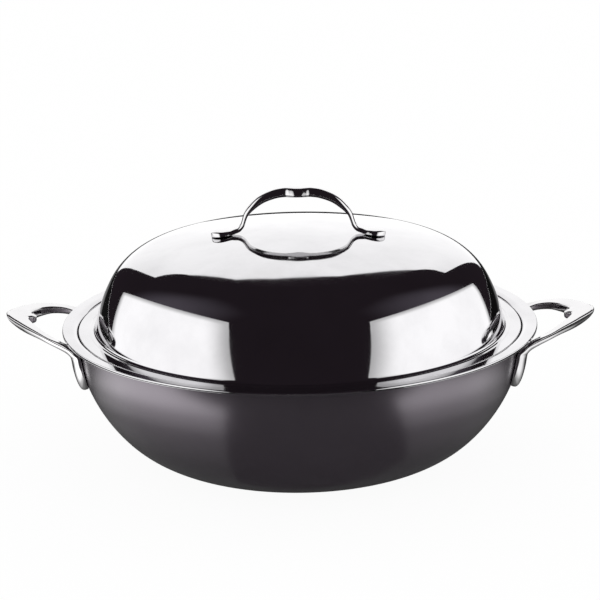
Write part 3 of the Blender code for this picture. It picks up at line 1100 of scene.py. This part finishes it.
# Tall back window, as x and z of its outline. Its light falls off with distance from its bright spot
backWindow = {
    "away": 1.0,
    "brightHeight": 0.3,
    "fall": (0.1, 0.95),
    "light": (1.31, 1.2),
    "outline": (
        (-0.49, 0.085), (-0.52, 0.16), (-0.58, 0.31), (-0.64, 0.49), (-0.68, 0.64),
        (-0.72, 0.79), (-0.75, 0.93), (-0.63, 0.92), (-0.51, 0.89), (-0.34, 0.82),
        (-0.31, 0.86), (-0.22, 1.0), (-0.1, 1.04), (0.0, 1.03), (0.1, 1.0), (0.18, 0.92),
        (0.25, 0.83), (0.28, 0.79), (0.42, 0.84), (0.59, 0.88), (0.69, 0.88), (0.62, 0.68),
        (0.57, 0.51), (0.52, 0.32), (0.46, 0.15), (0.44, 0.085),
    ),
}
windowMaterial, windowTree = newMaterial("white diffuser, lit from behind")
windowPlace = addNode(windowTree, "TexCoord").outputs["Object"]
windowSpread = addNode(windowTree, "VectorMath", {
    0: windowPlace,
    1: (0, backWindow["away"], backWindow["brightHeight"]),
}, operation="DISTANCE")
brightest, dimmest = backWindow["light"]
nearest, farthest = backWindow["fall"]
windowFall = addNode(windowTree, "MapRange", {
    "Value": windowSpread.outputs["Value"],
    "From Min": nearest,
    "From Max": farthest,
    "To Min": brightest,
    "To Max": dimmest,
})
windowGlow = addNode(windowTree, "Emission", {"Strength": windowFall.outputs[0]})
addNode(windowTree, "OutputMaterial", {"Surface": windowGlow.outputs[0]})
windowPoints = [(x, backWindow["away"], z) for x, z in backWindow["outline"]]
windowMesh = cardMesh("back_window", windowPoints, [tuple(range(len(windowPoints)))])
addStage("back_window", windowMesh, windowMaterial)

# Softboxes at both sides, corners in turn: back foot, front foot, front top, back top
leftSoftbox = ((-0.9, 0.46, 0.0), (-0.9, -1.60, 0.0), (-0.9, -0.80, 1.31), (-0.9, 0.74, 0.38))
rightSoftbox = ((0.9, 0.70, 0.0), (0.9, -1.36, 0.0), (0.9, -0.77, 1.22), (0.9, 0.90, 0.45))
middle = studio["softboxLight"]
border = middle * studio["softboxBorder"]
for name, corners in (("left_softbox", leftSoftbox), ("right_softbox", rightSoftbox)):
    glow = litPanel(
        "white diffuser cloth", (middle, middle, middle, 1), (border, border, border, 1),
        studio["softboxEdge"],
    )
    addStage(name, panelMesh(name, corners), glow)

# The softboxes' spill on the tent above them
tentColour = linear(studio["tentColour"])
spillColour = linear(studio["spillColour"])
spills = {
    "left_spill": ((-0.95, 0.65, 0.40), (-0.95, -0.90, 1.38), (-0.75, -0.90, 2.3), (-0.75, 0.55, 1.9)),
    "right_spill": ((0.95, 0.86, 0.48), (0.95, -0.77, 1.22), (0.75, -0.70, 2.0), (0.75, 0.55, 1.7)),
}
for name, corners in spills.items():
    glow = litPanel("black cloth beside a lamp", spillColour, tentColour, studio["spillEdge"])
    addStage(name, panelMesh(name, corners), glow)

# What the metal sees of the floor, painted as light on a card: a lit board round the wok, with the
# wok's own shadow painted in its middle, dim beyond its edge, and painted black shade in front, where
# the camera's side of the studio is
paintedFloorLight = {
    "height": 1 * mm,
    "reach": 2.9,
    "sides": 64,
    # Distance from the middle and light
    "near": (
        (0.0, 0.02), (0.09, 0.04), (0.14, 0.10), (0.20, 0.25), (0.24, 0.7), (0.31, 2.0), (0.60, 1.8),
    ),
    "behind": (
        (0.0, 0.02), (0.20, 0.05), (0.42, 0.09), (0.50, 0.3), (0.65, 0.3), (0.80, 0.18), (0.95, 0.018),
    ),
    "dimsBehind": (-0.05, 0.09),
    "dimWidth": (0.54, 0.35),
    # Axis, where the light has ended, where it is whole, and the light beyond
    "edges": (
        ("X", -0.52, -0.45, 0.03),
        ("X", 0.42, 0.36, 0.03),
        ("Y", -0.30, -0.24, 0.03),
        ("Y", 0.42, 0.32, 0.16),
    ),
    "rightShare": 0.65,
    "rightRange": (-0.1, 0.3),
    "blackHeight": 1.5 * mm,
    "black": ((-0.05, -0.12), (-0.19, -0.37), (-1.43, -2.9), (1.35, -2.9), (0.24, -0.31), (0.10, -0.12)),
    "blackLight": (0.05, 0.045, 0.05, 1),
}


def ringLight(tree, place, rings):
    # Light by distance from the middle, in metres
    radius = addNode(tree, "VectorMath", {0: place}, operation="LENGTH")
    outermost = rings[-1][0]
    share = addNode(tree, "Math", {0: radius.outputs["Value"], 1: outermost}, operation="DIVIDE")
    ramp = addNode(tree, "ValToRGB", {"Fac": share.outputs[0]})
    ramp.color_ramp.interpolation = "EASE"
    stops = ramp.color_ramp.elements
    for index, (distance, light) in enumerate(rings):
        stop = stops[index] if index < 2 else stops.new(distance / outermost)
        stop.position = distance / outermost
        stop.color = (light, light, light, 1)
    return ramp.outputs["Color"]


# The floor's light and the wok's shadow, painted into the glow of a card
def paintedFloorLightMaterial():
    material, tree = newMaterial("painted floor light and wok shadow")
    board = addNode(tree, "TexCoord").outputs["Object"]
    split = addNode(tree, "SeparateXYZ", {0: board})
    near = ringLight(tree, board, paintedFloorLight["near"])
    for axis, outer, inner, beyond in paintedFloorLight["edges"]:
        fade = addNode(tree, "MapRange", {
            "Value": split.outputs[axis],
            "From Min": outer,
            "From Max": inner,
            "To Min": beyond,
        })
        near = addNode(tree, "VectorMath", {0: near, "Scale": fade.outputs[0]}, operation="SCALE").outputs[0]
    low, high = paintedFloorLight["dimsBehind"]
    back = addNode(tree, "MapRange", {"Value": split.outputs["Y"], "From Min": low, "From Max": high})
    aside = addNode(tree, "Math", {0: split.outputs["X"]}, operation="ABSOLUTE")
    wide, narrow = paintedFloorLight["dimWidth"]
    inside = addNode(tree, "MapRange", {"Value": aside.outputs[0], "From Min": wide, "From Max": narrow})
    dim = addNode(tree, "Math", {0: back.outputs[0], 1: inside.outputs[0]}, operation="MULTIPLY")
    light = addNode(tree, "Mix", {
        "Factor": dim.outputs[0],
        "A": near,
        "B": ringLight(tree, board, paintedFloorLight["behind"]),
    }, data_type="RGBA")
    left, right = paintedFloorLight["rightRange"]
    strength = addNode(tree, "MapRange", {
        "Value": split.outputs["X"],
        "From Min": left,
        "From Max": right,
        "To Min": 1,
        "To Max": paintedFloorLight["rightShare"],
    })
    glow = addNode(tree, "Emission", {"Color": light.outputs["Result"], "Strength": strength.outputs[0]})
    addNode(tree, "OutputMaterial", {"Surface": glow.outputs[0]})
    return material


boardPoints = [(x, y, paintedFloorLight["height"]) for x, y in aroundCircle(paintedFloorLight["sides"], paintedFloorLight["reach"])]
boardMesh = cardMesh("painted_floor_light", boardPoints, [tuple(range(len(boardPoints)))])
addStage("painted_floor_light", boardMesh, paintedFloorLightMaterial())
# Black card on the floor in front of the wok: painted shade that the metal sees on the camera's side
blackPoints = [(x, y, paintedFloorLight["blackHeight"]) for x, y in paintedFloorLight["black"]]
blackMesh = cardMesh("black_card", blackPoints, [tuple(range(len(blackPoints)))])
addStage("black_card", blackMesh, darkClothAndPaintedShade("painted shade in front of the wok", paintedFloorLight["blackLight"]))

world = bpy.data.worlds.new("studio")
scene.world = world
world.use_nodes = True
sky = world.node_tree
sky.nodes.clear()
light = addNode(sky, "Background", {"Color": (1, 1, 1, 1), "Strength": studio["worldLight"]})
addNode(sky, "OutputWorld", {"Surface": light.outputs[0]})
print("studio made")


# Camera: eye just above the lid's shoulder, a little to the right
view = {
    "distance": 2.0,
    "elevation": radians(16.38),
    "azimuth": radians(1.5),
    "roll": radians(0.9),
    "lens": 150.7,
    "frame": 600,
    "rimAt": (299.7, 320.08),  # where the middle of the rim shows, in pixels of the frame
}
level = cos(view["elevation"])
back = Vector((
    sin(view["azimuth"]) * level,
    -cos(view["azimuth"]) * level,
    sin(view["elevation"]),
))
right = Vector((cos(view["azimuth"]), sin(view["azimuth"]), 0))
upward = back.cross(right)
rolledRight = right * cos(view["roll"]) - upward * sin(view["roll"])
rolledUp = right * sin(view["roll"]) + upward * cos(view["roll"])
lensData = bpy.data.cameras.new("camera")
lensData.lens = view["lens"]
lensData.shift_x = (view["frame"] / 2 - view["rimAt"][0]) / view["frame"]
lensData.shift_y = (view["rimAt"][1] - view["frame"] / 2) / view["frame"]
camera = bpy.data.objects.new("camera", lensData)
scene.collection.objects.link(camera)
place = Matrix((rolledRight, rolledUp, back)).transposed().to_4x4()
place.translation = Vector((0, 0, wok["depth"])) + back * view["distance"]
camera.matrix_world = place
scene.camera = camera
scene.view_settings.view_transform = "Standard"
print("camera at", round(degrees(view["elevation"]), 1), "degrees")
